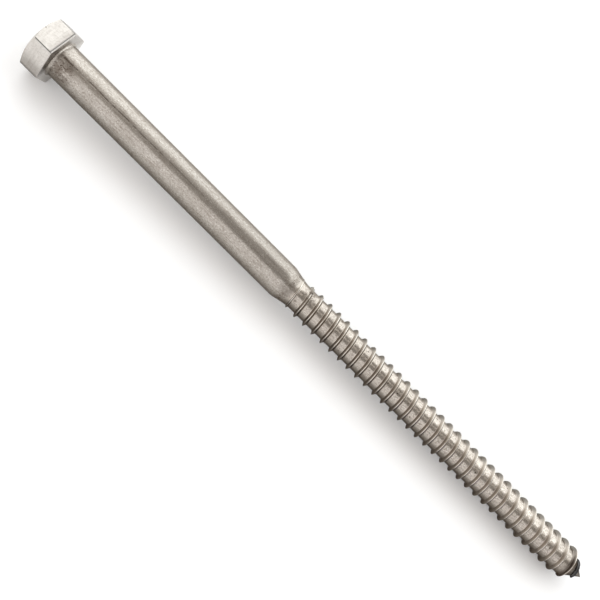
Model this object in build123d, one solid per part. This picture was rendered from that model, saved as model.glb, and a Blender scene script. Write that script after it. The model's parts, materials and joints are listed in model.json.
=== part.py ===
from build123d import *
import os
from math import atan2, cos, degrees, floor, pi, radians, sin, tan

# Hex lag bolt: 1/2 in by 10 in, six threads to the inch, stainless steel, one solid.
#
# The bolt lies along +X as it rests on a floor: one flat of the head is down, and the last full thread
# carries the point. The origin is the centre of the head's bearing face, and the point is on the +X side.

# Length, from the bearing face to the tip
bolt_length = 252.0

# Head
across_flats = 19.05
head_height = 8.15
head_top_diameter = 17.8  # the flat circle inside the top chamfer
head_chamfer_angle = 30.0  # down from the plane of the top
head_corner_rounding = 0.35  # along the six upright edges
bearing_edge_rounding = 0.25  # round the six sides of the bearing face
under_head_fillet = 0.8

# Plain shank, and the neck that runs down to the thread
shank_diameter = 12.7
neck_edge_rounding = 8.0  # where the shank turns into the neck
neck_angle = 12.0  # of the neck's surface to the axis

# Thread, right-hand
pitch = 25.4 / 6
thread_turns = 34
root_diameter = 10.0
crest_diameter = 12.5
flank_angle = 30.0  # of one flank to a plane across the bolt
thread_start_angle = 2.4  # round from +Y towards +Z
thread_start_step = 0.45  # height of the core above the root where the ridge begins
rising_turns = 1.5  # the ridge grows to its full height in these
fading_turns = 0.6  # the ridge dies away in these, at the point

# Gimlet point
point_angle = 33.0  # of the cone's surface to the axis
point_ridge_height = 0.95  # of the thread over the cone
bare_tip_length = 0.9  # past the end of the thread

# How closely the thread's curved edges follow the true helix
points_per_half_turn = 12
curve_tolerance = 0.002

NODE = "lag_bolt"

shank_radius = shank_diameter / 2
root_radius = root_diameter / 2
crest_radius = crest_diameter / 2
neck_slope = tan(radians(neck_angle))
point_slope = tan(radians(point_angle))

thread_end = bolt_length - bare_tip_length
thread_start = thread_end - thread_turns * pitch
start_radius = root_radius + thread_start_step
end_radius = bare_tip_length * point_slope
neck_length = (shank_radius - start_radius) / neck_slope
neck_start = thread_start - neck_length
# the core's last step down to the root is a parabola that leaves the neck without a corner
root_blend_length = 2 * thread_start_step / neck_slope


def core_radius(x):
    """Radius of the bolt's core under the thread, x along the axis."""
    if x < thread_start + root_blend_length:
        to_go = 1 - (x - thread_start) / root_blend_length
        return root_radius + thread_start_step * to_go**2
    return min(root_radius, (bolt_length - x) * point_slope)


def ridge_height(turn):
    """Height of the thread's ridge over the core, at a number of turns from its start."""
    x = thread_start + pitch * turn
    crest = min(crest_radius, (bolt_length - x) * point_slope + point_ridge_height)
    full = crest - core_radius(x)
    risen = start_radius + (crest_radius - start_radius) * turn / rising_turns - core_radius(x)
    fading = full * (thread_turns - turn) / fading_turns
    return min(full, risen, fading)


def crest_point(turn):
    """A point on the ridge's crest, which is a plain edge."""
    x = thread_start + pitch * turn
    return on_bolt(x, core_radius(x) + ridge_height(turn), turn)


def foot_point(turn, side):
    """A point where a flank meets the core: side is -1 for the flank to the head, 1 for the other."""
    flank_width = ridge_height(turn) * tan(radians(flank_angle))
    x = thread_start + pitch * turn + side * flank_width
    return on_bolt(x, core_radius(x), turn)


def head_foot_point(turn):
    return foot_point(turn, -1)


def point_foot_point(turn):
    return foot_point(turn, 1)


def on_bolt(x, radius, turn):
    """The point at a distance along the axis, a radius, and a number of turns from the thread's start."""
    angle = radians(thread_start_angle) + 2 * pi * turn
    return Vector(x, radius * cos(angle), radius * sin(angle))


def half_turns(place):
    """The edges that place(turn) draws along the thread, half a turn each."""
    step = 0.5 / points_per_half_turn
    edges = []
    for half in range(2 * thread_turns):
        points = [place(half / 2 + step * i) for i in range(points_per_half_turn + 1)]
        edges.append(Edge.make_spline_approx(points, curve_tolerance))
    return edges


def ring_round_bolt(x, radius):
    """A circle across the bolt, as two halves that begin and meet where the thread does."""
    across = Plane(origin=(x, 0, 0), x_dir=on_bolt(0, 1, 0), z_dir=(1, 0, 0))
    return [
        Edge.make_circle(radius, across, 0, 180),
        Edge.make_circle(radius, across, 180, 360),
    ]


def threaded_length():
    """The core and its ridge: strips ruled from edge to edge, half a turn each, sewn into one skin."""
    crest = half_turns(crest_point)
    head_foot = half_turns(head_foot_point)
    point_foot = half_turns(point_foot_point)
    first = ring_round_bolt(thread_start, start_radius)
    last = ring_round_bolt(thread_end, end_radius)

    strips = list(zip(head_foot, crest))
    strips += list(zip(crest, point_foot))
    # the core between one turn of the ridge and the next
    strips += list(zip(first + point_foot, head_foot + last))
    faces = [Face.make_surface_from_curves(edge, next_edge) for edge, next_edge in strips]
    faces += [Face(Wire(first)), Face(Wire(last))]
    skin = Face.sew_faces(faces)[0]
    return Solid(Shell(skin))


def turned(outline):
    """A solid of revolution from an outline of (x, radius) points that ends on the axis at both ends."""
    return revolve(make_face(outline), Axis.X)


def hex_head():
    blank = RegularPolygon(across_flats / 2, 6, major_radius=False)
    blank = fillet(blank.vertices(), head_corner_rounding)
    head = extrude(Plane.YZ * blank, -head_height)
    bearing_edges = head.faces().sort_by(Axis.X)[-1].edges()
    head = fillet(bearing_edges, bearing_edge_rounding)
    # the top chamfer is one cone round all six corners
    top = head_top_diameter / 2
    wide = top + head_height / tan(radians(head_chamfer_angle))
    cone = turned(Polyline((-head_height, 0), (-head_height, top), (0, wide), (0, 0), close=True))
    return head & cone


def plain_shank():
    """The shank with its fillet under the head, and the neck down to the start of the thread."""
    fillet_top = shank_radius + under_head_fillet
    centre = (under_head_fillet, fillet_top)
    # inside the head the shank is only there to be joined to it
    buried = -head_height / 2
    tangent_length = neck_edge_rounding * tan(radians(neck_angle) / 2)
    bend_start = (neck_start - tangent_length, shank_radius)
    bend_end = (
        neck_start + tangent_length * cos(radians(neck_angle)),
        shank_radius - tangent_length * sin(radians(neck_angle)),
    )
    outline = [
        Polyline((thread_start, 0), (buried, 0), (buried, fillet_top), (0, fillet_top)),
        RadiusArc((0, fillet_top), (under_head_fillet, shank_radius), -under_head_fillet),
        Line((under_head_fillet, shank_radius), bend_start),
        RadiusArc(bend_start, bend_end, neck_edge_rounding),
        Polyline(bend_end, (thread_start, start_radius), (thread_start, 0)),
    ]
    return turned(outline)


def bare_tip():
    outline = Polyline((bolt_length, 0), (thread_end, 0), (thread_end, end_radius), close=True)
    return turned(outline)


def last_crest_underneath():
    """Distance along the axis of the last full-height crest on the bolt's lowest line."""
    turns_to_bottom = (270 - thread_start_angle) / 360
    cone_start = bolt_length - (crest_radius - point_ridge_height) / point_slope
    whole_turns = floor((cone_start - thread_start) / pitch - turns_to_bottom)
    return thread_start + pitch * (turns_to_bottom + whole_turns)


def rest_tilt():
    """Degrees by which the point dips, with the head's lower flat and the last full crest on a floor."""
    return degrees(atan2(across_flats / 2 - crest_radius, last_crest_underneath()))


bolt = hex_head() + plain_shank() + threaded_length() + bare_tip()
bolt = Rot(0, rest_tilt(), 0) * bolt

os.makedirs("parts", exist_ok=True)
export_step(bolt, f"parts/{NODE}.step")
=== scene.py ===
import json
from math import atan2, cos, degrees, floor, hypot, pi, radians, sin, sqrt, tan
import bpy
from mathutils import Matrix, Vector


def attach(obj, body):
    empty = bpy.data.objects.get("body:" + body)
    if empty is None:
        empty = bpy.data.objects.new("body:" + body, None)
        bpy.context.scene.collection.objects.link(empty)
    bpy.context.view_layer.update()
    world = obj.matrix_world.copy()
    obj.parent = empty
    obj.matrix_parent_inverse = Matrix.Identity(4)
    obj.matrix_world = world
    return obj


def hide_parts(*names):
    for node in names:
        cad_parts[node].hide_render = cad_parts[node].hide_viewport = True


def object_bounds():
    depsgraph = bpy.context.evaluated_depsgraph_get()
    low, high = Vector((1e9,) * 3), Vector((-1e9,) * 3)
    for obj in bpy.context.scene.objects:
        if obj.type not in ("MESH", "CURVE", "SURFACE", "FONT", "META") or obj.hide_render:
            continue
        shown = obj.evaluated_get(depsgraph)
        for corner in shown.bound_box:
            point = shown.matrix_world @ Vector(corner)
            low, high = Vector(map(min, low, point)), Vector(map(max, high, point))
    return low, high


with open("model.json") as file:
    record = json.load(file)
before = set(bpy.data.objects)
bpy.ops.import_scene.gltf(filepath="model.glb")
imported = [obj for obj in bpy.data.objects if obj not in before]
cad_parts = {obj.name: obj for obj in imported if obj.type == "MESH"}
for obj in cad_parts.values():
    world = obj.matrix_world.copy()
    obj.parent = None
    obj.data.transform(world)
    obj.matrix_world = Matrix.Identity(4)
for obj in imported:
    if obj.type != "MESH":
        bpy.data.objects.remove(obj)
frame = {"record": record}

from types import SimpleNamespace

import bpy
from mathutils import Matrix, Vector, noise

cad_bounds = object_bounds()

MM = 0.001

# ---------------------------------------------------------------- the bolt's own frame
# X runs along the bolt from the bearing face to the point, and Z is up, square to it. Everything up to
# the materials is in this frame and in millimetres.
mounts = {mount["name"]: mount for mount in frame["record"]["mounts"]}
axis = Vector(mounts["bearing_face"]["axis"]).normalized()
TILT = Matrix.Rotation(atan2(-axis.z, axis.x), 3, "Y")
ORIGIN = Vector(mounts["bearing_face"]["pos_m"])


def placed(x, y, z):
    """A point of the bolt's own frame, in the metres of the row frame."""
    return ORIGIN + TILT @ (Vector((x, y, z)) * MM)


# ---------------------------------------------------------------- sizes, as in the part's source
bolt_length = 252.0

across_flats = 19.05
head_height = 8.15
head_top_radius = 8.9
head_chamfer_angle = radians(30)
head_corner_rounding = 0.35
bearing_edge_rounding = 0.25
under_head_fillet = 0.8

shank_radius = mounts["shank"]["dims"]["r_mm"]
neck_edge_rounding = 8.0
neck_angle = radians(12)

pitch = 25.4 / 6
thread_turns = 34
root_radius = 5.0
crest_radius = 6.25
flank_slope = tan(radians(30))
thread_start_angle = radians(2.4)
thread_start_step = 0.45
rising_turns = 1.5
fading_turns = 0.6

point_slope = tan(radians(33))
point_ridge_height = 0.95
bare_tip_length = 0.9

apothem = across_flats / 2
thread_end = bolt_length - bare_tip_length
thread_start = thread_end - thread_turns * pitch
start_radius = root_radius + thread_start_step
neck_slope = tan(neck_angle)
neck_start = thread_start - (shank_radius - start_radius) / neck_slope
root_blend_length = 2 * thread_start_step / neck_slope

# ---------------------------------------------------------------- sizes of the skin alone
COLUMNS = 84  # points round the shank and the thread
RIDGE_ROWS = (0.06, 0.13, 0.24, 0.42, 0.6, 0.74, 0.88, 1.05, 1.4)  # from the crest, along the bolt
FLAT_PLACES = (-0.97, -0.85, -0.65, -0.45, -0.22, 0.0, 0.22, 0.45, 0.65, 0.85, 0.97)  # across one flat
CORNER_STEPS = 6  # round each upright edge of the head
EDGE_STEPS = 4  # over each rounded edge of its outline
FILLET_STEPS = 6
shank_step = 1.2
neck_step = 0.3

corner_inset = 0.0005  # keeps the head's corners inside the solid's box
bearing_edge_inset = 0.05  # from the end of the edge's rounding to the first ring on the bearing face
chamfer_edge_rounding = 0.18
top_edge_rounding = 0.2

fillet_end = shank_radius + under_head_fillet
round_fillet_radius = fillet_end + 0.7  # of a ring on the bearing face
neck_rows_start = neck_start - 1.8
grid_start = thread_start - 0.3  # where the thread's grid follows the neck's rings
grid_end = bolt_length - 0.07  # the point is a little blunt
tip_end = bolt_length - 0.03

# a narrow hollow beside the bearing face leaves its edge as a low lip, clearest on the upper flat
hollow_depth = 0.12
HOLLOW_PROFILE = (
    (-0.27, 0.0), (-0.31, 0.12), (-0.43, 0.95), (-0.5, 1.0), (-0.62, 0.9), (-0.86, 0.15), (-1.0, 0.0),
)  # places along the bolt, and the share of the depth there

full_ridge = crest_radius - root_radius
crest_half_width = 0.09  # of the narrow land on a ridge of full height
blunt_half_width = 0.14  # more of it where the ridge is lowest
crest_softness = 0.3
foot_softness = 0.22
crest_wear = 0.012  # share of the height, in waves along the crest
LONG_WAVES = 3.1  # noise cells to a turn
SHORT_WAVES = 11.7
foot_line = 0.05  # from the flank's foot to the middle of the painted shade line beside it
foot_reach = 0.3

# where the first turns are torn: the turn, how far it reaches in turns, and how badly
TEARS = ((1.12, 0.16, 1.0), (2.12, 0.1, 0.6))
tear_sway = 0.7
tear_loss = 0.1  # share of the height all along the tear
notch_loss = 0.45  # and in its deepest notches
TEAR_GRAIN = 38.0  # noise cells to a turn
NOTCH_GRAIN = 2.2  # and to a millimetre along the bolt

# where the darkening at the point begins and where it is full, by turn on the ridges and by x on the tip
BLACK_TURNS = (thread_turns - 1.55, thread_turns - 1.2)
BROWN_TURNS = (thread_turns - 1.98, thread_turns - 1.72)
BARE_TIP = (thread_end - 2.3, thread_end - 1.7)
groove_darkening = 0.7
bare_tip_darkening = 0.58


# ---------------------------------------------------------------- form of the shank and thread
def smooth_min(a, b, k):
    """The lesser of two numbers, with the change from one to the other rounded over k."""
    return min(a, b) - max(k - abs(a - b), 0.0) ** 2 / (4 * k)


def smooth_max(a, b, k):
    return -smooth_min(-a, -b, k)


def smooth_step(value, low, high):
    """From 0 at the low value to 1 at the high one, with a soft start and end."""
    part = min(1.0, max(0.0, (value - low) / (high - low)))
    return part * part * (3 - 2 * part)


def hump(value, middle, reach):
    """1 at the middle, falling in straight lines to 0 at the reach on both sides."""
    return max(0.0, 1 - abs(value - middle) / reach)


def core_radius(x):
    """The root of the thread, with its slow change from the neck and its cone at the point."""
    if x < thread_start + root_blend_length:
        to_go = 1 - (x - thread_start) / root_blend_length
        return root_radius + thread_start_step * to_go**2
    return min(root_radius, (bolt_length - x) * point_slope)


def ridge_height(turn):
    """Height of the ridge's crest over the core, so many turns from its start."""
    x = thread_start + pitch * turn
    crest = min(crest_radius, (bolt_length - x) * point_slope + point_ridge_height)
    full = crest - core_radius(x)
    risen = start_radius + (crest_radius - start_radius) * turn / rising_turns - core_radius(x)
    fading = full * (thread_turns - turn) / fading_turns
    return max(0.0, min(full, risen, fading))


def torn_ridge(turn, x, off, height):
    """The distance from the crest line and the ridge's height, changed where the ridge is torn."""
    torn = sum(badly * hump(turn, middle, reach) for middle, reach, badly in TEARS)
    if torn > 0:
        place = Vector((turn * TEAR_GRAIN, 0.0, 0.0))
        off += torn * tear_sway * noise.noise(place)
        notch = abs(noise.noise(place + Vector((0.0, 7.0, x * NOTCH_GRAIN))))
        height *= 1 - torn * (tear_loss + notch_loss * notch)
    return off, height


def thread_surface(x, angle):
    """Radius at a place on the threaded length, how far up the ridge it is and how close to the ridge's
    foot, both from 0 to 1; the last places a painted shade line."""
    core = core_radius(x) if x > thread_start else start_radius + (thread_start - x) * neck_slope
    part_turn = (angle - thread_start_angle) / (2 * pi)
    turn = part_turn + floor((x - thread_start) / pitch - part_turn + 0.5)
    if turn < 0 or turn > thread_turns:
        return core, 0.0, 0.0
    height = ridge_height(turn)
    if height < 0.01:
        return core, 0.0, 0.0
    off, height = torn_ridge(turn, x, x - (thread_start + pitch * turn), height)
    size = height / full_ridge
    long_wave = noise.noise(Vector((turn * LONG_WAVES, 0.3, 0.0)))
    short_wave = noise.noise(Vector((turn * SHORT_WAVES, 4.3, 0.0)))
    height *= 1 - crest_wear * (1 + (long_wave + 0.5 * short_wave))
    land = crest_half_width * size + blunt_half_width * max(0.0, 1 - size) ** 2
    width = height * flank_slope
    flank = height * (1 - (abs(off) - land) / width)
    up = smooth_min(height, flank, crest_softness * size)
    up = smooth_max(up, 0.0, foot_softness * size)
    crest = min(1.0, max(0.0, up / height))
    # where the painted shade line beside the ridge's foot lies
    foot = hump(abs(off) - width, foot_line, foot_reach) * min(1.0, 2.2 * size)
    return core + up, crest, foot


def burnt_part(x, angle, crest):
    """How dark a place near the point is: black on the last ridge, grey in its groove and on the bare tip,
    and brown on the ridge before."""
    part_turn = (angle - thread_start_angle) / (2 * pi)
    along = (x - thread_start) / pitch - part_turn
    # a ridge's share of the length is from 0.88 of a pitch before its crest to 0.12 past it
    next_ridge = floor(along + 0.88)
    turn = part_turn + next_ridge
    on_ridge = smooth_step(crest, 0.02, 0.3)
    on_crest = smooth_step(crest, 0.75, 0.95)
    at_foot = 1 - smooth_step((next_ridge - along) * pitch, 0.7, 1.9)
    last = (groove_darkening + (1 - groove_darkening) * on_ridge) * smooth_step(turn, *BLACK_TURNS)
    brown = max(on_ridge, 0.8 * at_foot) * (1 - on_crest)
    before = (0.06 + 0.9 * brown) * smooth_step(turn, *BROWN_TURNS)
    bare = smooth_step(x, *BARE_TIP) * (1 - on_ridge)
    return max(last, before) * (1 - bare) + bare_tip_darkening * bare


def neck_radius(x):
    """The plain shank, its rounded edge into the neck, and the neck."""
    tangent = neck_edge_rounding * tan(neck_angle / 2)
    bend_start = neck_start - tangent
    bend_end = neck_start + tangent * cos(neck_angle)
    if x <= bend_start:
        return shank_radius
    if x < bend_end:
        return shank_radius - neck_edge_rounding + sqrt(neck_edge_rounding**2 - (x - bend_start) ** 2)
    return start_radius + (thread_start - x) * neck_slope


# ---------------------------------------------------------------- mesh building
class Skin:
    """Vertices in the bolt's frame with three masks each, and faces; equal points are one vertex."""

    def __init__(self):
        self.points = []
        self.masks = []
        self.faces = []
        self.index = {}

    def point(self, x, y, z, masks=(0.0, 0.0, 0.0)):
        key = (round(x, 5), round(y, 5), round(z, 5))
        if key not in self.index:
            self.index[key] = len(self.points)
            self.points.append((x, y, z))
            self.masks.append(masks)
        return self.index[key]

    def ring(self, x, radius):
        """A circle of points round the axis."""
        angles = [2 * pi * i / COLUMNS for i in range(COLUMNS)]
        return [self.point(x, radius * cos(angle), radius * sin(angle)) for angle in angles]

    def face(self, *corners):
        """A face without repeated corners, or none where fewer than three are left."""
        loop = list(dict.fromkeys(corners))
        if len(loop) > 2:
            self.faces.append(tuple(loop))

    def strip(self, ring, next_ring):
        """Quads between two closed rings of as many vertices, the second farther along the axis."""
        count = len(ring)
        for i in range(count):
            j = (i + 1) % count
            self.face(ring[i], ring[j], next_ring[j], next_ring[i])

    def cap(self, ring, middle):
        """Triangles from a closed ring to a point farther along the axis."""
        for i in range(len(ring)):
            self.face(ring[i], ring[(i + 1) % len(ring)], middle)


def hexagon():
    """Points of the head's outline with their outward directions, round from +Y towards +Z."""
    reach = (apothem - head_corner_rounding) / cos(radians(30)) - corner_inset
    half_flat = reach * sin(radians(30))
    outline = []
    for corner in range(6):
        middle = radians(60 * corner)
        centre = (reach * cos(middle), reach * sin(middle))
        for step in range(CORNER_STEPS + 1):
            turned = middle + radians(-30 + 60 * step / CORNER_STEPS)
            out = (cos(turned), sin(turned))
            y = centre[0] + head_corner_rounding * out[0]
            z = centre[1] + head_corner_rounding * out[1]
            outline.append((y, z, out))
        turned = middle + radians(30)
        out = (cos(turned), sin(turned))
        for place in FLAT_PLACES:
            s = place * half_flat
            outline.append((out[0] * apothem - out[1] * s, out[1] * apothem + out[0] * s, out))
    return outline


def bezier(a, b, c):
    """Points on the quadratic curve that rounds the corner b between a and c, ends included."""
    points = []
    for i in range(EDGE_STEPS + 1):
        t = i / EDGE_STEPS
        points.append(tuple(p * (1 - t) ** 2 + 2 * q * t * (1 - t) + r * t**2 for p, q, r in zip(a, b, c)))
    return points


def head_column(y, z, out):
    """Points at one place of the outline, from the bearing face over the side and chamfer to the top."""
    side_radius = sqrt(y * y + z * z)
    direction = (y / side_radius, z / side_radius)
    chamfer_x = -head_height + (side_radius - head_top_radius) * tan(head_chamfer_angle)
    chamfer_way = (sin(head_chamfer_angle), cos(head_chamfer_angle))

    # places on the side, as (x, distance inward)
    places = [(0.0, bearing_edge_rounding + bearing_edge_inset)]
    for step in range(EDGE_STEPS + 1):
        g = radians(90 - 90 * step / EDGE_STEPS)
        places.append((-bearing_edge_rounding * (1 - sin(g)), bearing_edge_rounding * (1 - cos(g))))
    hollow = hollow_depth * (0.1 + 0.9 * max(0.0, out[1]) ** 6)
    places += [(x, hollow * share) for x, share in HOLLOW_PROFILE]
    low = HOLLOW_PROFILE[-1][0]
    high = chamfer_x + 0.3
    places += [(low + (high - low) * part, 0.0) for part in (0.25, 0.5, 0.75)]
    places.append((high, 0.0))
    column = [(x, y - out[0] * inward, z - out[1] * inward) for x, inward in places]

    # the chamfer between its two rounded edges, then the flat top, as (x, radius)
    below = (chamfer_x + chamfer_edge_rounding, side_radius)
    above = (
        chamfer_x - chamfer_edge_rounding * chamfer_way[0],
        side_radius - chamfer_edge_rounding * chamfer_way[1],
    )
    before = (
        -head_height + top_edge_rounding * chamfer_way[0],
        head_top_radius + top_edge_rounding * chamfer_way[1],
    )
    after = (-head_height, head_top_radius - top_edge_rounding)
    curve = bezier(below, (chamfer_x, side_radius), above)
    curve.append(((above[0] + before[0]) / 2, (above[1] + before[1]) / 2))
    curve += bezier(before, (-head_height, head_top_radius), after)
    top_radii = (head_top_radius - 0.4, head_top_radius * 0.7, head_top_radius * 0.35)
    curve += [(-head_height, r) for r in top_radii]
    column += [(x, direction[0] * r, direction[1] * r) for x, r in curve]
    return column


def add_head(skin):
    """The head from the bearing face to the middle of its top. Gives back the ring at the bearing face."""
    columns = [head_column(*place) for place in hexagon()]
    rings = [[skin.point(*point) for point in row] for row in zip(*columns)]
    for ring, next_ring in zip(rings, rings[1:]):
        # going up the head is going back along the axis, so the rings swap places
        skin.strip(next_ring, ring)
    skin.cap(rings[-1][::-1], skin.point(-head_height, 0.0, 0.0))
    return rings[0]


def add_bearing_face(skin, outer, inner):
    """Faces between the head's outline and a circle, which have unlike numbers of points."""

    def angle(index):
        x, y, z = skin.points[index]
        return atan2(z, y) % (2 * pi)

    outer = sorted(outer, key=angle)
    inner = sorted(inner, key=angle)
    a = b = 0
    while a < len(outer) or b < len(inner):
        next_a = angle(outer[(a + 1) % len(outer)]) + 2 * pi * ((a + 1) // len(outer))
        next_b = angle(inner[(b + 1) % len(inner)]) + 2 * pi * ((b + 1) // len(inner))
        here_a, here_b = outer[a % len(outer)], inner[b % len(inner)]
        if b >= len(inner) or (a < len(outer) and next_a <= next_b):
            skin.face(here_a, outer[(a + 1) % len(outer)], here_b)
            a += 1
        else:
            skin.face(here_a, inner[(b + 1) % len(inner)], here_b)
            b += 1


def shank_rows():
    """Places along the plain shank and neck with their radii, from the bearing face on."""
    rows = []
    for step in range(FILLET_STEPS + 1):
        g = radians(90 * step / FILLET_STEPS)
        rows.append((under_head_fillet * (1 - cos(g)), shank_radius + under_head_fillet * (1 - sin(g))))
    x = under_head_fillet + shank_step / 3
    while x < neck_rows_start - shank_step / 2:
        rows.append((x, shank_radius))
        x += shank_step
    x = neck_rows_start
    while x < grid_start - neck_step / 6:
        rows.append((x, neck_radius(x)))
        x += neck_step
    return rows


def add_thread(skin):
    """The threaded length. Its grid follows the helix and is cut off straight at both ends. Gives back
    the rings at its ends."""
    offsets = [-row for row in reversed(RIDGE_ROWS)] + [0.0] + list(RIDGE_ROWS) + [pitch / 2]
    grid = [thread_start + pitch * whole + off for whole in range(-2, thread_turns + 2) for off in offsets]
    columns = []
    for i in range(COLUMNS):
        angle = 2 * pi * i / COLUMNS
        shift = pitch * (angle - thread_start_angle) / (2 * pi)
        column = []
        for place in grid:
            x = min(grid_end, max(grid_start, place + shift))
            r, crest, foot = thread_surface(x, angle)
            masks = (crest, foot, burnt_part(x, angle, crest))
            column.append(skin.point(x, r * cos(angle), r * sin(angle), masks))
        columns.append(column)
    for i in range(COLUMNS):
        # one turn round is one pitch along, so the last column meets the first a turn of rows up
        next_column = columns[(i + 1) % COLUMNS]
        lift = len(offsets) if i == COLUMNS - 1 else 0
        for row in range(len(grid) - 1 - lift):
            up = row + lift
            skin.face(columns[i][row], next_column[up], next_column[up + 1], columns[i][row + 1])
    return [column[0] for column in columns], [column[-1] for column in columns]


def bolt_skin():
    """The whole bolt as one closed skin."""
    skin = Skin()
    head_ring = add_head(skin)
    shank_rings = [skin.ring(x, r) for x, r in shank_rows()]
    round_fillet = skin.ring(0.0, round_fillet_radius)
    add_bearing_face(skin, head_ring, round_fillet)
    thread_ring, tip_ring = add_thread(skin)
    rings = [round_fillet] + shank_rings + [thread_ring]
    for ring, next_ring in zip(rings, rings[1:]):
        skin.strip(ring, next_ring)
    skin.cap(tip_ring, skin.point(tip_end, 0.0, 0.0))
    return skin


# ---------------------------------------------------------------- what the finish needs at each vertex
# Sides are angles in degrees round the bolt from straight up, below 0 on the near side.
# painted shade on the shank by the head and on the bearing face round the fillet, centred on these sides
SHADE_BY_HEAD_SIDE = -48
SHADE_ON_FACE_SIDE = -38
GALLED_SIDE = 8
galled_x = thread_start + 5.7
film_by_thread_x = thread_start - 1.6
film_everywhere = 0.12  # a thin film everywhere along the shank, as a share of the darkest film and painted shade


def place_zones(x, y, z):
    """How far a place is polished, under film or painted shade, and on the head, each from 0 to 1."""
    side = degrees(atan2(y, z))
    across = hypot(y, z)
    polished = smooth_step(x, thread_start - 0.8, thread_start + 0.6)
    head = 1.0 if x < 0.01 and across > fillet_end - 0.1 else 0.0

    # painted shade on the shank next to the head
    shade_by_head = smooth_step(x, 0.4, 1.4) * (1 - smooth_step(x, 5.5, 11.0))
    shade_by_head *= 1 - smooth_step(abs(side - SHADE_BY_HEAD_SIDE), 24, 46)
    by_thread = 0.85 * hump(x, film_by_thread_x, 3.2) * (1.0 if side < 0 else 0.8)
    by_point = 0.45 * smooth_step(x, 225, 243)
    # painted shade on the bearing face, darkest round the fillet
    shade_on_face = 0.0
    if abs(x) < 0.01:
        shade_on_face = 0.85 if across < round_fillet_radius + 0.1 else 0.4
        shade_on_face *= 1 - smooth_step(abs(side - SHADE_ON_FACE_SIDE), 38, 62)
    dirty = max(shade_by_head, by_thread, by_point, shade_on_face, film_everywhere if x > 0 else 0.0)
    return polished, dirty, head


def head_edge_shade(x, y, z):
    """How far a place takes the painted shade line along an upright edge of the head, or in the hollow of
    its upper flat.
    """
    if x >= -0.1:
        return 0.0
    if -0.65 < x < -0.4 and z > apothem - 0.3:
        return 1.0
    if hypot(y, z) <= apothem + 0.2:
        return 0.0
    to_corner = abs((degrees(atan2(z, y)) + 30) % 60 - 30)
    # the painted shade line is wider on the corner that points to the near side
    width = 1.7 if y < -apothem and z < 0.6 else 1.0
    edge = 1 - smooth_step(to_corner, 0.6 * width, 1.7 * width)
    return edge * smooth_step(-x, 0.1, 0.3) * smooth_step(x, -7.15, -6.85)


def place_marks(x, y, z):
    """How far a place takes the painted shade line on the head's edges, is galled, and takes painted shade
    where it is turned to the floor, each from 0 to 1.
    """
    side = degrees(atan2(y, z))
    across = max(hypot(y, z), 0.1)  # not zero on the axis
    galled = min(1.0, 2.2 * hump(x, galled_x, 3.0) * hump(side, GALLED_SIDE, 26))
    threaded = smooth_step(x, thread_start - 1.0, thread_start + 1.0)
    # the painted shade on the side turned to the floor reaches higher on the near side and on the thread
    low = -0.62 - 0.05 * threaded + 0.75 * smooth_step(y / across, -0.2, 0.5)
    under = smooth_step(-z / across, low, low + 0.54 - 0.12 * threaded)
    return head_edge_shade(x, y, z), galled, under


def mesh_piece(name, skin):
    """A scene object from a skin, which carries the masks, zones and marks to the material."""
    mesh = bpy.data.meshes.new(name)
    mesh.from_pydata([placed(*p) for p in skin.points], [], skin.faces)
    mesh.validate()
    zones = [place_zones(*p) for p in skin.points]
    marks = [place_marks(*p) for p in skin.points]
    for attribute, values in (("masks", skin.masks), ("zones", zones), ("marks", marks)):
        layer = mesh.attributes.new(attribute, "FLOAT_COLOR", "POINT")
        layer.data.foreach_set("color", [number for v in values for number in (*v, 1.0)])
    mesh.polygons.foreach_set("use_smooth", [True] * len(mesh.polygons))
    mesh.update()
    piece = bpy.data.objects.new(name, mesh)
    bpy.context.scene.collection.objects.link(piece)
    return piece


# ---------------------------------------------------------------- node trees
class Value:
    """An output in a node tree. Arithmetic on it adds the nodes that work the result out."""

    def __init__(self, nodes, output):
        self.nodes = nodes
        self.output = output

    def __add__(self, other):
        return self.nodes.math("ADD", self, other)

    def __sub__(self, other):
        return self.nodes.math("SUBTRACT", self, other)

    def __rsub__(self, other):
        return self.nodes.math("SUBTRACT", other, self)

    def __mul__(self, other):
        return self.nodes.math("MULTIPLY", self, other)

    def __abs__(self):
        return self.nodes.math("ABSOLUTE", self)


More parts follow.
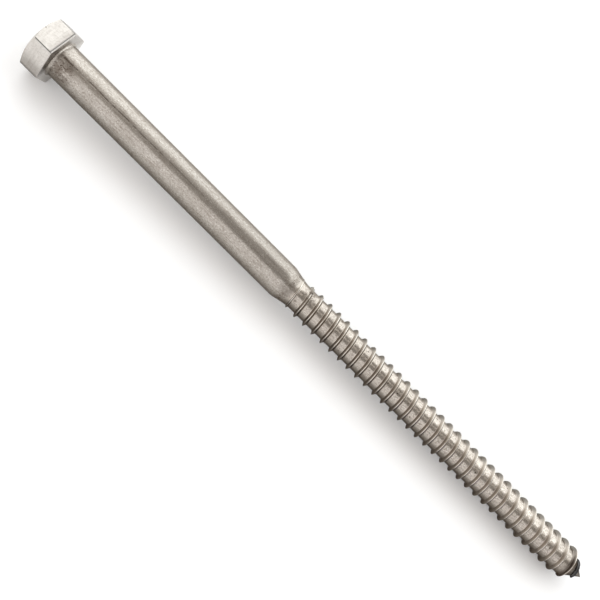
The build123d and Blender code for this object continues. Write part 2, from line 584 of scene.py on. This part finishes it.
class Nodes:
    """Short calls for building a node tree."""

    def __init__(self, tree):
        self.tree = tree

    def add(self, kind, **values):
        node = self.tree.nodes.new(kind)
        for name, value in values.items():
            setattr(node, name, value)
        return node

    def link(self, value, socket):
        """Joins a value to a socket, or sets the socket to a number or colour."""
        if isinstance(value, Value):
            self.tree.links.new(value.output, socket)
        else:
            socket.default_value = value

    def math(self, operation, a, b=0.0):
        node = self.add("ShaderNodeMath", operation=operation)
        self.link(a, node.inputs[0])
        self.link(b, node.inputs[1])
        return Value(self, node.outputs[0])

    def remap(self, value, low, high, to_low, to_high):
        """From one number at the low value to another at the high one, and no farther."""
        node = self.add("ShaderNodeMapRange")
        for socket, item in zip(node.inputs, (value, low, high, to_low, to_high)):
            self.link(item, socket)
        return Value(self, node.outputs[0])

    def rise(self, value, low, high, top=1.0):
        """From 0 at the low value to the top at the high one."""
        return self.remap(value, low, high, 0.0, top)

    def fall(self, value, low, high, top=1.0):
        """From the top at the low value to 0 at the high one."""
        return self.remap(value, low, high, top, 0.0)

    def curve(self, value, points):
        """Straight lines through (place, level) points, read at a value."""
        low, high = points[0][0], points[-1][0]
        top = max(level for place, level in points)
        node = self.add("ShaderNodeValToRGB")
        elements = node.color_ramp.elements
        elements.remove(elements[1])
        elements[0].position = 0.0
        for i, (place, level) in enumerate(points):
            element = elements[0] if i == 0 else elements.new((place - low) / (high - low))
            element.color = (level / top, level / top, level / top, 1)
        self.link(self.rise(value, low, high), node.inputs[0])
        return Value(self, node.outputs[0]) * top

    def mix(self, factor, a, b):
        """Colour a where the factor is 0, and colour b where it is 1."""
        node = self.add("ShaderNodeMix", data_type="RGBA")
        self.link(factor, node.inputs[0])
        self.link(a, node.inputs[6])
        self.link(b, node.inputs[7])
        return Value(self, node.outputs[2])

    def coordinates(self, kind):
        return Value(self, self.add("ShaderNodeTexCoord").outputs[kind])

    def parts(self, vector):
        """The three numbers of a vector."""
        node = self.add("ShaderNodeSeparateXYZ")
        self.link(vector, node.inputs[0])
        return [Value(self, output) for output in node.outputs]

    def attribute(self, name):
        """The three numbers that each vertex carries under a name."""
        carried = self.add("ShaderNodeAttribute", attribute_name=name)
        node = self.add("ShaderNodeSeparateColor")
        self.link(Value(self, carried.outputs["Color"]), node.inputs[0])
        return [Value(self, output) for output in node.outputs]

    def distance(self, place, point):
        node = self.add("ShaderNodeVectorMath", operation="DISTANCE")
        self.link(place, node.inputs[0])
        node.inputs[1].default_value = point
        return Value(self, node.outputs["Value"])

    def spots(self, place, spacing, solid, reach):
        """Round spots at scattered places: 1 within the solid part of the spacing, 0 beyond the reach."""
        node = self.add("ShaderNodeTexVoronoi")
        node.inputs["Scale"].default_value = 1000 / spacing
        self.link(place, node.inputs["Vector"])
        return self.fall(Value(self, node.outputs["Distance"]), solid, reach)

    def noise(self, place, grain, detail=2.0, roughness=0.5, offset=(0.0, 0.0, 0.0)):
        """Noise whose grain has these sizes in millimetres along X, Y and Z."""
        mapping = self.add("ShaderNodeMapping")
        mapping.inputs["Scale"].default_value = tuple(1000 / size for size in grain)
        mapping.inputs["Location"].default_value = offset
        self.link(place, mapping.inputs["Vector"])
        node = self.add("ShaderNodeTexNoise")
        node.inputs["Scale"].default_value = 1.0
        node.inputs["Detail"].default_value = detail
        node.inputs["Roughness"].default_value = roughness
        self.link(Value(self, mapping.outputs[0]), node.inputs["Vector"])
        return Value(self, node.outputs[0])


# ---------------------------------------------------------------- finish
# Places in the node trees are in the row frame and in metres, so lengths there are times MM.
STEEL = (0.425, 0.393, 0.355, 1)
STEEL_DARK = (0.19, 0.155, 0.125, 1)
STEEL_WORN = (0.80, 0.77, 0.71, 1)
STEEL_POLISHED = (0.515, 0.468, 0.415, 1)
STEEL_HEAD = (0.60, 0.572, 0.538, 1)
# painted shade: a darker copy of the head's steel for its flats on the far side
STEEL_HEAD_FAR_SHADE = (0.40, 0.385, 0.365, 1)
STEEL_FACE = (0.475, 0.45, 0.425, 1)
# painted reflection: the bearing face lighter towards the bottom
STEEL_FACE_LOW_PAINTED_LIGHT = (0.97, 0.95, 0.92, 1)
# the flanks' colour by side, painted light and shade: darker on the near side, lighter across the middle,
# darker on the far side
STEEL_FLANK_NEAR_SHADE = (0.36, 0.305, 0.25, 1)
STEEL_FLANK_TOP_PAINTED_LIGHT = (0.52, 0.465, 0.405, 1)
STEEL_FLANK_FAR_SHADE = (0.25, 0.238, 0.215, 1)
# painted shade on the side turned to the floor
STEEL_FLOOR_SIDE_SHADE = (0.10, 0.085, 0.07, 1)
STEEL_POINT_BLACK = (0.058, 0.058, 0.06, 1)
POINT_BROWN = (0.065, 0.05, 0.04, 1)
# film, and painted shade by the head and on the bearing face
FILM_AND_SHADE = (0.13, 0.105, 0.085, 1)
GRIME = (0.075, 0.055, 0.04, 1)
# painted shade lines on the head's upright edges and in the hollow of its upper flat
EDGE_SHADE = (0.17, 0.165, 0.16, 1)

# how much light comes back from what is seen edge on
TINT_SHANK = (0.46, 0.44, 0.42, 1)
TINT_THREAD = (0.33, 0.32, 0.31, 1)
TINT_HEAD = (0.85, 0.84, 0.82, 1)
TINT_FACE = (1.0, 1.0, 1.0, 1)

EVEN = 900.0  # a grain so large that the noise doesn't change that way

# places and lengths in millimetres
seam_off_top = 1.5  # towards the near side
seam_wander = 0.4
seam_fade = (25, 86)
nick_place = (-7.55, -0.3, 9.45)  # in the bolt's own frame
brown_to_black = (245.4, 246.8)  # along the darkened part of the point


def rolling_seam(n, s):
    """A dark broken line along the upper side of the shank, which fades towards the thread."""
    wander = (n.noise(s.place, (5.0, EVEN, EVEN), offset=(1.0, 2.4, 3.6)) - 0.5) * (seam_wander * MM)
    off_line = abs(s.y + seam_off_top * MM + wander)
    off_line = off_line * n.remap(s.x, 3 * MM, 9 * MM, 0.6, 1.0)
    line = n.fall(off_line, 0.1 * MM, 0.32 * MM)
    along = n.rise(s.x, 0.8 * MM, 1.6 * MM) * n.fall(s.x, seam_fade[0] * MM, seam_fade[1] * MM)
    breaks = n.noise(s.place, (1.6, EVEN, EVEN), detail=3.0, offset=(0.0, 0.4, 0.6))
    on_top = n.rise(s.z, 3 * MM, 4 * MM)
    return line * along * n.remap(breaks, 0.4, 0.54, 0.25, 1.0) * on_top


def read_surface(n):
    """What the finish depends on at each place: the mesh's masks, the grain, and where the marks are."""
    s = SimpleNamespace()
    s.place = n.coordinates("Object")
    s.x, s.y, s.z = n.parts(s.place)
    s.crest, s.foot, s.burnt = n.attribute("masks")
    s.polished, s.dirty, s.head = n.attribute("zones")
    s.edge, s.galled, s.under = n.attribute("marks")

    s.cloud = n.noise(s.place, (9.0, 3.0, 3.0), detail=3.0, offset=(3.0, 0.0, 0.0))
    s.speckle = n.noise(s.place, (0.8, 0.55, 0.55), detail=2.0, roughness=0.6)
    s.fine = n.noise(s.place, (0.42, 0.34, 0.34), detail=1.0)
    s.streak = n.noise(s.place, (7.0, 0.45, 0.45), detail=2.0, offset=(0.0, 5.0, 0.0))
    s.brush = n.noise(s.place, (0.7, 7.0, 7.0), detail=3.0, roughness=0.6, offset=(7.0, 0.0, 0.0))
    s.patch = n.noise(s.place, (2.6, 1.6, 1.6), detail=3.0, roughness=0.6, offset=(0.0, 0.0, 9.0))
    s.gall = n.noise(s.place, (0.6, 1.1, 1.1), detail=3.0, roughness=0.7, offset=(2.0, 0.0, 4.0))

    s.face = s.head * n.rise(s.x, -0.2 * MM, -0.02 * MM)
    s.flank = n.rise(s.crest, 0.04, 0.16) * n.fall(s.crest, 0.88, 0.97)
    pitted = n.rise(n.remap(s.patch, 0.38, 0.6, 0.3, 1.0) * s.dirty, 0.1, 0.7)
    s.pits = n.spots(s.place, 0.66, 0.18, 0.38) * pitted
    s.chips = n.spots(s.place, 3.0, 0.06, 0.14) * s.polished
    s.seam = rolling_seam(n, s)
    s.nick = n.fall(n.distance(s.place, placed(*nick_place)), 0.12 * MM, 0.34 * MM)
    return s


def steel_colour(n, s):
    """The colour, from the steel itself to the marks, painted light and painted shade that lie over it."""
    # the steel of each part of the bolt, with a painted reflection lightening the bearing face towards the
    # bottom and painted shade on the head's flats on the far side
    colour = n.mix(s.polished, STEEL, STEEL_POLISHED)
    colour = n.mix(s.head, colour, STEEL_HEAD)
    # the bearing face lighter towards the bottom, a painted reflection of a bright floor
    colour = n.mix(s.face, colour, n.mix(n.rise(s.z, -4 * MM, 2 * MM), STEEL_FACE_LOW_PAINTED_LIGHT, STEEL_FACE))
    # painted shade on the head's far flats
    far_flat_shade = s.head * n.rise(s.y, 5.3 * MM, 5.9 * MM) * n.fall(s.x, -0.3 * MM, -0.1 * MM)
    colour = n.mix(far_flat_shade, colour, STEEL_HEAD_FAR_SHADE)

    # clouds and speckle, weaker on the head, and rolling streaks on the shank
    calm = 1.0 - s.head * 0.6
    colour = n.mix(n.rise(s.cloud, 0.4, 0.7, 0.2) * calm, colour, STEEL_DARK)
    colour = n.mix(n.rise(s.speckle, 0.46, 0.7, 0.55) * calm, colour, STEEL_DARK)
    colour = n.mix(n.fall(s.fine, 0.26, 0.44, 0.45) * calm, colour, STEEL_WORN)
    on_shank = 1.0 - n.math("MAXIMUM", s.head, s.polished)
    colour = n.mix(n.rise(s.streak, 0.53, 0.70, 0.4) * on_shank, colour, STEEL_DARK)

    # films, painted shade by the head and on the bearing face, pits in these places, brush marks on the
    # head, chips on the thread
    colour = n.mix(n.remap(s.patch, 0.34, 0.56, 0.1, 1.0) * s.dirty * 0.85, colour, FILM_AND_SHADE)
    colour = n.mix(n.rise(s.brush, 0.45, 0.75, 0.24) * s.head, colour, STEEL_DARK)
    colour = n.mix(s.pits * 0.85, colour, GRIME)
    colour = n.mix(s.chips * 0.8, colour, GRIME)

    # the ridge's flanks in painted light and shade by side, the painted shade line at their feet, and the
    # rubbed crest
    # painted shade on the near and far sides of the flanks, painted light between
    flank_light_and_shade = n.mix(n.rise(s.y, -2.2 * MM, 0.4 * MM), STEEL_FLANK_NEAR_SHADE, STEEL_FLANK_TOP_PAINTED_LIGHT)
    flank_light_and_shade = n.mix(n.rise(s.y, 2.2 * MM, 4.2 * MM), flank_light_and_shade, STEEL_FLANK_FAR_SHADE)
    colour = n.mix(s.flank * 0.85, colour, flank_light_and_shade)
    # painted shade line beside each ridge's foot
    colour = n.mix(s.foot * 0.3, colour, STEEL_DARK)
    colour = n.mix(n.rise(s.crest, 0.93, 0.98, 0.85), colour, STEEL_WORN)

    # painted shade lines on the head's edges and in the upper flat's hollow
    colour = n.mix(s.edge * 0.85, colour, EDGE_SHADE)
    colour = n.mix(n.rise(s.gall, 0.5, 0.58, 0.9) * s.galled, colour, GRIME)

    # painted shade where the bolt is turned to the floor: darkest on the thread, least on the bearing face
    depth = n.remap(s.polished, 0.0, 1.0, 0.48, 0.76) + s.head * 0.06 - s.face * 0.4
    colour = n.mix(s.under * depth, colour, STEEL_FLOOR_SIDE_SHADE)

    colour = n.mix(s.seam * 0.85, colour, GRIME)
    colour = n.mix(s.nick * 0.8, colour, GRIME)
    blackened = n.rise(s.x, brown_to_black[0] * MM, brown_to_black[1] * MM)
    burnt_colour = n.mix(blackened, POINT_BROWN, STEEL_POINT_BLACK)
    return n.mix(s.burnt, colour, burnt_colour)


def steel_tint(n, s):
    """The oxide film dulls what is seen edge on, most on the thread and not at all on the bearing face."""
    tint = n.mix(s.polished, TINT_SHANK, TINT_THREAD)
    tint = n.mix(n.fall(s.x, 0.6 * MM, 1.5 * MM), tint, TINT_HEAD)
    return n.mix(s.face, tint, TINT_FACE)


def steel_roughness(n, s):
    """Duller in clouds, pits and on the flanks, smoother on the thread and on the head's edges."""
    rough = n.remap(s.cloud, 0.3, 0.7, 0.22, 0.30) + n.remap(s.speckle, 0.4, 0.7, -0.03, 0.06)
    return rough - s.polished * 0.10 + s.flank * 0.2 + s.pits * 0.25 + s.head * 0.06 - s.edge * 0.14


def steel_relief(s):
    """Heights in millimetres: shallow mottling, rolling streaks, brush marks on the head and galling,
    less the pits, the seam and the nick."""
    relief = s.speckle * 0.010 + s.fine * 0.005 + s.streak * 0.004
    relief = relief + s.brush * s.head * 0.010 + s.gall * s.galled * 0.32
    return relief - s.pits * 0.04 - (s.seam + s.nick) * 0.05


def stainless():
    """The material of the whole bolt."""
    material = bpy.data.materials.new("stainless_steel")
    material.use_nodes = True
    shader = material.node_tree.nodes["Principled BSDF"]
    n = Nodes(material.node_tree)
    s = read_surface(n)
    shader.inputs["Metallic"].default_value = 1.0
    n.link(steel_colour(n, s), shader.inputs["Base Color"])
    n.link(steel_tint(n, s), shader.inputs["Specular Tint"])
    n.link(steel_roughness(n, s), shader.inputs["Roughness"])
    bump = n.add("ShaderNodeBump")
    bump.inputs["Strength"].default_value = 1.0
    bump.inputs["Distance"].default_value = MM
    n.link(steel_relief(s), bump.inputs["Height"])
    n.link(Value(n, bump.outputs[0]), shader.inputs["Normal"])
    return material


bolt = mesh_piece("bolt_skin", bolt_skin())
bolt.data.materials.append(stainless())
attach(bolt, "root")
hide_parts("lag_bolt")


# ---------------------------------------------------------------- floor
FLOOR_COLOUR = (0.96, 0.96, 0.96, 1)
floor_reach = 3.0  # metres


def floor_piece():
    low = cad_bounds[0][2]
    corners = [(x * floor_reach, y * floor_reach, low) for x, y in ((-1, -1), (1, -1), (1, 1), (-1, 1))]
    mesh = bpy.data.meshes.new("floor")
    mesh.from_pydata(corners, [], [(0, 1, 2, 3)])
    material = bpy.data.materials.new("floor")
    material.use_nodes = True
    shader = material.node_tree.nodes["Principled BSDF"]
    shader.inputs["Base Color"].default_value = FLOOR_COLOUR
    shader.inputs["Roughness"].default_value = 0.9
    shader.inputs["Specular IOR Level"].default_value = 0.0
    mesh.materials.append(material)
    piece = bpy.data.objects.new("floor", mesh)
    bpy.context.scene.collection.objects.link(piece)


floor_piece()

# ---------------------------------------------------------------- camera
# It stands where the photograph's did: fitted to the thread's crests, the shank and the head's corners.
camera_along = 83.96  # millimetres along the bolt from the bearing face
camera_distance = 285.0  # millimetres from the bolt's axis
camera_lean = radians(26.3)  # from straight above, round the axis to the near side
camera_turns = Vector((0.00165, 0.0959, 0.0))  # small turns about its own right and up, in radians
camera_roll = radians(44.9)
camera_lens = 50.64


def round_axis(v):
    """From the frame whose Z is towards the camera to the bolt's own frame."""
    y = cos(camera_lean) * v.y - sin(camera_lean) * v.z
    z = cos(camera_lean) * v.z + sin(camera_lean) * v.y
    return Vector((v.x, y, z))


def make_camera():
    turn = Matrix.Rotation(camera_turns.length, 3, camera_turns.normalized())
    right0, up0, back = turn[0], turn[1], turn[2]
    right = cos(camera_roll) * right0 + sin(camera_roll) * up0
    up = cos(camera_roll) * up0 - sin(camera_roll) * right0
    rotation = Matrix([TILT @ round_axis(v) for v in (right, up, back)]).transposed()
    place = placed(*round_axis(Vector((camera_along, 0.0, camera_distance))))
    data = bpy.data.cameras.new("camera")
    data.sensor_width = 36
    data.lens = camera_lens
    data.clip_start = 0.01
    camera = bpy.data.objects.new("camera", data)
    camera.matrix_world = Matrix.Translation(place) @ rotation.to_4x4()
    bpy.context.scene.collection.objects.link(camera)
    bpy.context.scene.camera = camera


make_camera()

# ---------------------------------------------------------------- light
# A studio of soft light alone: a bright wall of light on the far side, a dimmer one on the near side, and a
# dark gap overhead. A direction's side is its angle in degrees round the bolt from straight up, over 0 on
# the far side. Its reach is how far it points along the bolt, from -1 at the head's end to 1 at the point's.
GAP_COLOUR = (1.0, 0.95, 0.90, 1)
FAR_COLOUR = (0.975, 1.0, 1.01, 1)
NEAR_COLOUR = (1.0, 0.985, 0.985, 1)

# the side at which the far wall begins, how much sooner it does by reach, and how sharply
far_wall_side = 32.0
FAR_WALL_BEND = (
    (-1.0, 20), (-0.25, 17), (-0.1, 4), (0.04, 0), (0.12, 5), (0.25, 7), (0.35, 9), (0.46, 18), (0.5, 26),
    (0.6, 34), (1.0, 34),
)
FAR_WALL_SHARPNESS = ((-1.0, 1.0), (0.04, 1.0), (0.12, 1.7), (1.0, 1.7))

# shares of each wall's light, by side
FAR_WALL_SHARE = ((-18, 0.0), (-2, 0.2), (8, 0.62), (18, 1.0), (150, 1.0))
NEAR_WALL_SHARE = ((-120, 1.0), (-33, 1.0), (-26, 0.0))

# strengths, by reach
FAR_LEVEL = (
    (-1.0, 1.9), (-0.45, 2.4), (-0.25, 2.4), (0.0, 1.72), (0.04, 1.72), (0.12, 2.05), (0.3, 2.1), (0.5, 2.3),
    (1.0, 2.0),
)
NEAR_LEVEL = ((-1.0, 1.42), (0.04, 1.35), (0.14, 1.14), (0.48, 1.08), (1.0, 1.3))
GAP_LEVEL = (
    (-1.0, 1.2), (-0.65, 1.2), (-0.45, 0.86), (-0.25, 0.74), (-0.15, 0.58), (0.0, 0.45), (0.12, 0.43),
    (0.5, 0.41), (0.7, 1.2), (1.0, 1.2),
)
END_LEVEL = 0.45

# a faint strip in the gap, by side and by reach, which only the threaded end shows
STRIP_SHARE = ((-8, 0.0), (-2, 1.0), (4, 1.0), (10, 0.0))
STRIP_LEVEL = ((-1.0, 0.0), (0.05, 0.0), (0.1, 0.38), (0.3, 0.38), (0.45, 0.25), (1.0, 0.0))


def studio():
    world = bpy.data.worlds.new("studio")
    bpy.context.scene.world = world
    world.use_nodes = True
    n = Nodes(world.node_tree)
    x, y, z = n.parts(n.coordinates("Generated"))
    side = n.math("ARCTAN2", y, z) * (180 / pi)

    past_edge = (side + n.curve(x, FAR_WALL_BEND) - far_wall_side) * n.curve(x, FAR_WALL_SHARPNESS)
    far_part = n.curve(past_edge, FAR_WALL_SHARE)
    near_part = n.curve(side, NEAR_WALL_SHARE)
    gap_level = n.curve(x, GAP_LEVEL)
    far_gain = far_part * (n.curve(x, FAR_LEVEL) - gap_level)
    near_gain = near_part * (n.curve(x, NEAR_LEVEL) - gap_level)
    strip = n.curve(side, STRIP_SHARE) * n.curve(x, STRIP_LEVEL)
    level = far_gain + near_gain + gap_level + strip

    # dim at both ends of the bolt, but not down at the horizon, where it would grey the background
    ends = n.rise(abs(x), 0.8, 0.9) * n.rise(z, 0.12, 0.34)
    level = level * (1.0 - ends) + ends * END_LEVEL

    colour = n.mix(near_part, GAP_COLOUR, NEAR_COLOUR)
    background = world.node_tree.nodes["Background"]
    n.link(n.mix(far_part, colour, FAR_COLOUR), background.inputs["Color"])
    n.link(level, background.inputs["Strength"])


studio()

bpy.context.scene.view_settings.view_transform = "Standard"
